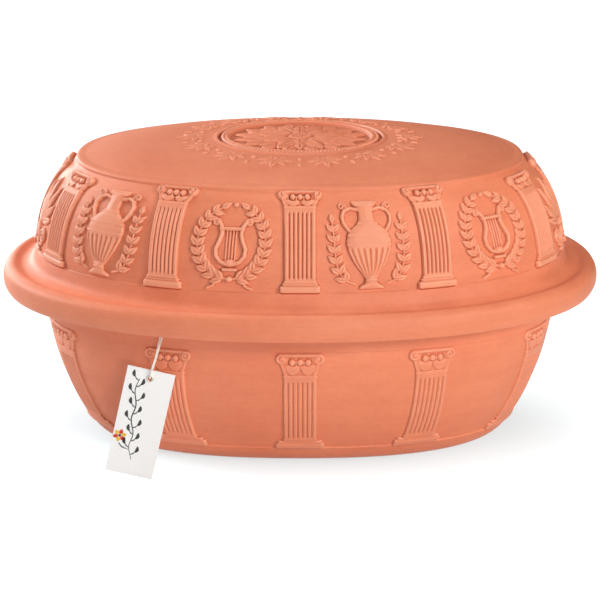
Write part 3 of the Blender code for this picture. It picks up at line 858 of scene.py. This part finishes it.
reaches = np.arange(BAND_IN, BAND_OUT + 0.01, 0.5)
turns, spread, round_turn = ring_grid(reaches, BAND_STEPS)
heights = softened(BAND_SHARE * band_relief(spread, round_turn), 1)
band_rows = []
for reach, height in zip(reaches / 1000, (heights - RELIEF_SUNK) / 1000):
    x, y = reach * np.cos(turns), (0.94 * reach - 0.0013) * np.sin(turns)
    band_rows.append(np.c_[x, y, dome_top(x, y) + height])
band_rows += [row - [0, 0, RELIEF_BACK] for row in (band_rows[-1], band_rows[0])]
depths = np.r_[hollows(heights), np.zeros((2, BAND_STEPS))]
add_piece("lid_leaf_band", loft(band_rows, True, depths), lid_clay, "lid", 180)


# ------------------------------------------------------------------------------------------------
# String. One length of white two-ply cotton: down from the seam between pot and lid, through the
# eyelet from the front, and up behind the card to the seam again. Its plies turn around each other.
STRING_DIAMETER = 0.0011
STRING_TURN = 0.0034             # length of one turn of the twist
STRING_FROM_RIM, STRING_UNDER_SEAT = 0.0003, 0.0014      # where its ends lie in the seam
STRING_ENDS_X = (-0.0881, -0.0851)
EYELET = Vector((-0.0962, -0.1125, 0.0737))


def rim_seam(x, outward):
    """Point in front of the base's rim, at a distance from its face, where the string ends."""
    side_share, n = BASE_OVAL
    a, b = LENGTH / 2 - RIM_INSET, WIDTH / 2 - side_share * RIM_INSET
    y = -b * (1 - (abs(x) / a) ** n) ** (1 / n)
    slope = Vector((x * abs(x) ** (n - 2) / a ** n, y * abs(y) ** (n - 2) / b ** n)).normalized()
    return Vector((x + slope.x * outward, y + slope.y * outward, SEAT - STRING_UNDER_SEAT))


left, right = (rim_seam(x, STRING_FROM_RIM + STRING_DIAMETER / 2) for x in STRING_ENDS_X)
through = [(0.0008, -0.0021, 0.0040), (0.0003, -0.0018, 0.0015), (0, -0.0010, 0.0005), (0, 0, 0.0003),
           (0, 0.0010, 0.0005), (0.0003, 0.0018, 0.0015), (0.0012, 0.0021, 0.0040)]
string_line = smooth_line([
    left, left - Vector((0.0001, 0, 0.0022)), (-0.0892, -0.1086, 0.1010), (-0.0920, -0.1137, 0.0893),
    (-0.0945, -0.1146, 0.0815), *(EYELET + Vector(step) for step in through),
    (-0.0933, -0.1105, 0.0830), (-0.0905, -0.1101, 0.0920), (-0.0875, -0.1082, 0.1020),
    right - Vector((-0.0001, 0, 0.0022)), right], 360)


def string_rows(line):
    """Sections of the twisted string: two lobes that turn as they go along."""
    ahead = np.gradient(line, axis=0)
    ahead /= np.linalg.norm(ahead, axis=1, keepdims=True)
    side = np.cross(ahead[0], (0, 1, 0))
    rows, way = [], 0.0
    angle = 2 * np.pi * np.arange(16) / 16
    for index, (point, forward) in enumerate(zip(line, ahead)):
        if index:
            way += np.linalg.norm(point - line[index - 1])
        side = side - forward * (side @ forward)
        side /= np.linalg.norm(side)
        other = np.cross(forward, side)
        radius = STRING_DIAMETER / 2 * (0.86 + 0.14 * np.cos(2 * angle))
        turn = angle + 2 * np.pi * way / STRING_TURN
        rows.append(point + np.outer(radius * np.cos(turn), side)
                    + np.outer(radius * np.sin(turn), other))
    return rows


def toned(tree, pattern, *stops):
    """Colour that follows a pattern between two stops, each a position and a colour."""
    tones = wired(tree, "ValToRGB", {"Fac": pattern})
    for stop, (position, colour) in zip(tones.color_ramp.elements, stops):
        stop.position, stop.color = position, (*colour, 1)
    return tones.outputs["Color"]


def fibre_surface(name, colour, dark, scale, strength, roughness=0.85):
    """Fibrous surface, such as cotton or card, with its own tones and grain."""
    surface, tree, shader = new_finish(name)
    place = wired(tree, "TexCoord").outputs["Object"]
    fibres = wired(tree, "TexNoise", {"Vector": place, "Scale": scale, "Detail": 5}).outputs["Fac"]
    bump = wired(tree, "Bump", {"Strength": strength, "Distance": 0.0001, "Height": fibres})
    fill(tree, shader, {"Roughness": roughness, "Normal": bump.outputs["Normal"],
                        "Base Color": toned(tree, fibres, (0.30, dark), (0.62, colour))})
    return surface


cotton = fibre_surface("twisted_cotton", (0.96, 0.94, 0.89), (0.80, 0.75, 0.67), 2600, 0.5)
string = add_piece("tag_string_cotton", loft(string_rows(string_line)), cotton, "string")
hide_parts("tag_string")


# ------------------------------------------------------------------------------------------------
# Paper tag. A stiff white card, die cut, that hangs from its string by a small rolled metal eyelet
# in a round hole near its top edge, and leans a little on the swell of the pot.
TAG_TILT = math.radians(13.5)


def hang(bm):
    """Puts a piece drawn around the eyelet, in millimetres, in its place on the pot."""
    place = Matrix.Translation(EYELET) @ Matrix.Rotation(TAG_TILT, 4, "Y") @ Matrix.Scale(0.001, 4)
    bmesh.ops.transform(bm, matrix=place, verts=bm.verts)
    return bm


paper = fibre_surface("white_card", (0.95, 0.96, 0.97), (0.91, 0.92, 0.93), 700, 0.15)
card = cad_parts["tag_card"]
for card_slot in card.material_slots:
    card_slot.material = paper

brass, tree, shader = new_finish("dull_brass")
place = wired(tree, "TexCoord").outputs["Object"]
wear = wired(tree, "TexNoise", {"Vector": place, "Scale": 900}).outputs["Fac"]
dulled = wired(tree, "MapRange", {"Value": wear, "To Min": 0.25, "To Max": 0.50})
fill(tree, shader, {"Metallic": 1.0, "Roughness": dulled.outputs["Result"],
                    "Base Color": toned(tree, wear, (0, (0.42, 0.37, 0.30)), (1, (0.70, 0.66, 0.58)))})


def eyelet_shape():
    """Rolled barrel: a round flange on each face of the card, joined through the hole."""
    bm = bmesh.new()
    line = [(1.35, 0.0), (1.38, -0.38), (1.50, -0.56), (1.78, -0.65), (2.15, -0.62), (2.45, -0.50),
            (2.55, -0.42), (2.50, -0.40), (2.10, -0.40), (1.60, -0.36), (1.58, 0.0)]
    line += [(reach, -y) for reach, y in line[-2::-1]]
    verts = [bm.verts.new((reach, y, 0)) for reach, y in line[:-1]]
    edges = [bm.edges.new(pair) for pair in zip(verts, verts[1:] + verts[:1])]
    bmesh.ops.spin(bm, geom=edges, cent=(0, 0, 0), axis=(0, 1, 0), angle=2 * math.pi, steps=40,
                   use_duplicate=False, use_merge=True)
    return hang(bm)


def smooth_stroke(points, steps):
    """Points of a smooth line with its directions, in the card's plane."""
    line = smooth_line([(x, 0, z) for x, z in points], steps + 1)[:, ::2]
    ahead = np.gradient(line, axis=0)
    return line, ahead / np.linalg.norm(ahead, axis=1, keepdims=True)


def printed(strokes):
    """Thin solid of ink on the card's face: every stroke has a line and its half width along it."""
    bm = bmesh.new()
    for points, half_width, steps in strokes:
        line, ahead = smooth_stroke(points, steps)
        verts = bmesh.ops.create_grid(bm, x_segments=steps, y_segments=1, size=1)["verts"]
        for index, vert in enumerate(verts):
            step, hand = index % (steps + 1), 2 * (index // (steps + 1)) - 1
            (x, z), (along_x, along_z) = line[step], hand * half_width(step / steps) * ahead[step]
            vert.co = (x - along_z, INK_FACE, z + along_x)
    pulled = bmesh.ops.extrude_face_region(bm, geom=bm.faces[:])["geom"]
    verts = [part for part in pulled if isinstance(part, bmesh.types.BMVert)]
    bmesh.ops.translate(bm, vec=(0, INK_THICKNESS, 0), verts=verts)
    return hang(bm)


def pen(share):
    """Half width of a pen's line, thinner at its ends."""
    return 0.20 + 0.20 * math.sin(math.pi * min(1, 0.15 + 0.85 * share)) ** 2


def pointed(half):
    """Half width of a leaf or petal, pointed at both ends."""
    return lambda share: half * math.sin(math.pi * min(max(share, 0.004), 0.996)) ** 0.8


def round_dot(radius):
    """Half width of a short line that fills a dot."""
    return lambda share: radius * math.sqrt(max(1 - (2 * min(max(share, 0.002), 0.998) - 1) ** 2, 0))


INK_FACE, INK_THICKNESS = -0.28, 0.04        # millimetres; the card's face is at -0.25
FLOWER = (-11.0, -43.0)
stem = [(-6.4, -1.5), (-7.6, -10.0), (-5.0, -20.0), (-6.0, -30.0), (-2.8, -40.0), (-3.8, -49.0),
        (-0.6, -58.0)]
black, yellow, red = [(stem, pen, 48)], [], []
stem_line = smooth_stroke(stem, 48)[0]
for number, (x, z) in enumerate(stem_line[1:46:4]):
    hand = 1 if number % 2 else -1
    black.append(([(x, z), (x + hand * 1.8, z + 0.9), (x + hand * 3.0, z + 2.6)], pen, 10))
    black.append(([(x + hand * 2.6, z + 1.8), (x + hand * 4.0, z + 3.8), (x + hand * 4.0, z + 6.8)],
                  pointed(1.1), 12))
for petal in range(6):
    angle = math.radians(60 * petal + 20)
    away = [(FLOWER[0] + r * math.cos(angle), FLOWER[1] + r * math.sin(angle)) for r in (0.8, 2.6, 4.6)]
    (red if petal % 2 else yellow).append((away, pointed(1.35), 12))
black += [([(-11.9, -43.0), (-10.1, -43.0)], round_dot(0.9), 14),
          ([(-10.8, -48.0), (-8.0, -50.5), (-3.6, -51.4)], pen, 16)]
for tone, strokes, colour in (("black", black, (0.030, 0.028, 0.027)),
                              ("yellow", yellow, (0.86, 0.58, 0.06)),
                              ("red", red, (0.70, 0.045, 0.035))):
    ink = fibre_surface(f"ink_{tone}", colour, tuple(0.72 * part for part in colour), 900, 0.15, 0.6)
    add_piece(f"tag_print_{tone}", printed(strokes), ink, "tag", 40)

eyelet = add_piece("tag_eyelet_metal", eyelet_shape(), brass, "tag", 60)
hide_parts("tag_eyelet")


# ------------------------------------------------------------------------------------------------
# Table and light. A white seamless floor with the pot's soft shadow under it; to the camera it glows
# less close to the foot, a painted shade that deepens that shadow. A warm lamp stands at the front
# right, a large cool one at the left, a panel behind lays the sheen on the left end, and a weak lamp
# above and a small panel in front fill in. The white room shows only to the camera and in gloss.
table = bmesh.new()
bmesh.ops.create_grid(table, x_segments=8, y_segments=8, size=4.0)
mesh = bpy.data.meshes.new("floor")
table.to_mesh(mesh)
table.free()
floor = bpy.data.objects.new("floor", mesh)
bpy.context.scene.collection.objects.link(floor)

FOOT_SHARE = 0.52                # the foot's width over its length
SHADOW_IN, SHADOW_OUT = 0.066, 0.125


def any_ray(tree, *kinds):
    """1 for a ray of one of these kinds, 0 for others."""
    seen = wired(tree, "LightPath")
    whole = seen.outputs[kinds[0]]
    for kind in kinds[1:]:
        whole = wired(tree, "Math", {0: whole, 1: seen.outputs[kind]},
                      operation="MAXIMUM").outputs["Value"]
    return whole


white, tree, shader = new_finish("white_floor")
whole = any_ray(tree, "Is Camera Ray", "Is Glossy Ray", "Is Transmission Ray")
place = wired(tree, "TexCoord").outputs["Object"]
oval = wired(tree, "Mapping", {"Vector": place, "Scale": (FOOT_SHARE, 1, 1)}).outputs["Vector"]
reach = wired(tree, "VectorMath", {0: oval}, operation="LENGTH").outputs["Value"]
# To the camera the floor's glow is weaker near the foot: painted shade that darkens the floor around
# the pot beside its real shadow
glow_dimmed_near_foot = wired(tree, "MapRange", {"Value": reach, "From Min": SHADOW_IN, "From Max": SHADOW_OUT,
                               "To Min": 0.56, "To Max": 1.00}).outputs["Result"]
# To the camera the floor's colour is bluish, which cancels the pink light that the clay bounces onto it
tint = wired(tree, "Mix", {"Factor": whole, "A": (0.72, 0.72, 0.72, 1), "B": (0.26, 0.38, 0.42, 1)},
             data_type="RGBA").outputs["Result"]
shine = wired(tree, "Math", {0: glow_dimmed_near_foot, 1: whole}, operation="MULTIPLY").outputs["Value"]
fill(tree, shader, {"Roughness": 0.9, "Specular IOR Level": 0.1, "Base Color": tint,
                    "Emission Color": (1, 1, 1, 1), "Emission Strength": shine})
mesh.materials.append(white)

world = bpy.data.worlds.new("white_room")
bpy.context.scene.world = world
world.use_nodes = True
tree = world.node_tree
direction = wired(tree, "TexCoord").outputs["Generated"]
aside = wired(tree, "SeparateXYZ", {"Vector": direction}).outputs["X"]
# Strength of the room's light from left to right: on matt surfaces, and as gloss shows it
matt, gloss = (wired(tree, "MapRange", {"Value": aside, "From Min": left, "From Max": right,
                                        "To Min": strong, "To Max": weak},
                     interpolation_type="SMOOTHSTEP").outputs["Result"]
               for left, right, strong, weak in ((-1, 1, 0.08, 0.04), (-0.95, 0.35, 1.0, 0.04)))
shown = wired(tree, "Mix", {"Factor": any_ray(tree, "Is Glossy Ray"), "A": matt, "B": gloss})
level = wired(tree, "Mix", {"Factor": any_ray(tree, "Is Camera Ray", "Is Transmission Ray"),
                            "A": shown.outputs["Result"], "B": 1.0})
fill(tree, tree.nodes["Background"], {"Color": (1, 1, 1, 1), "Strength": level.outputs["Result"]})


def softbox(name, place, aim, size, power, colour=(1, 1, 1)):
    """Soft lamp that faces a height on the object's middle line."""
    data = bpy.data.lights.new(name, "AREA")
    data.shape, data.size, data.size_y = "RECTANGLE", *size
    data.energy, data.color = power, colour
    lamp = bpy.data.objects.new(name, data)
    lamp.location = place
    lamp.rotation_euler = (Vector((0, 0, aim)) - Vector(place)).to_track_quat("-Z", "Y").to_euler()
    bpy.context.scene.collection.objects.link(lamp)


softbox("lamp_right", (1.08, -1.18, 0.78), 0.1, (0.25, 0.3), 15, (1.0, 0.95, 0.87))
softbox("lamp_left", (-1.38, 0.30, 0.78), 0.1, (0.5, 0.5), 16, (0.96, 0.98, 1.0))
softbox("panel_behind", (-1.00, 1.30, 0.40), 0.12, (0.6, 0.5), 12)
softbox("lamp_top", (0, 0, 1.70), 0.1, (0.5, 0.5), 9)
softbox("panel_front", (0.40, -1.76, 0.38), 0.1, (0.4, 0.3), 8)

SENSOR, FOCAL_PIXELS, FRAME_PIXELS = 36.0, 1621.2, 600
camera = bpy.data.objects.new("camera", bpy.data.cameras.new("camera"))
camera.data.sensor_width, camera.data.lens = SENSOR, SENSOR * FOCAL_PIXELS / FRAME_PIXELS
camera.location = (0, -1.0830, 0.4487)
camera.rotation_euler = (Vector((0, 0, 0.0895)) - camera.location).to_track_quat("-Z", "Y").to_euler()
bpy.context.scene.collection.objects.link(camera)
bpy.context.scene.camera = camera
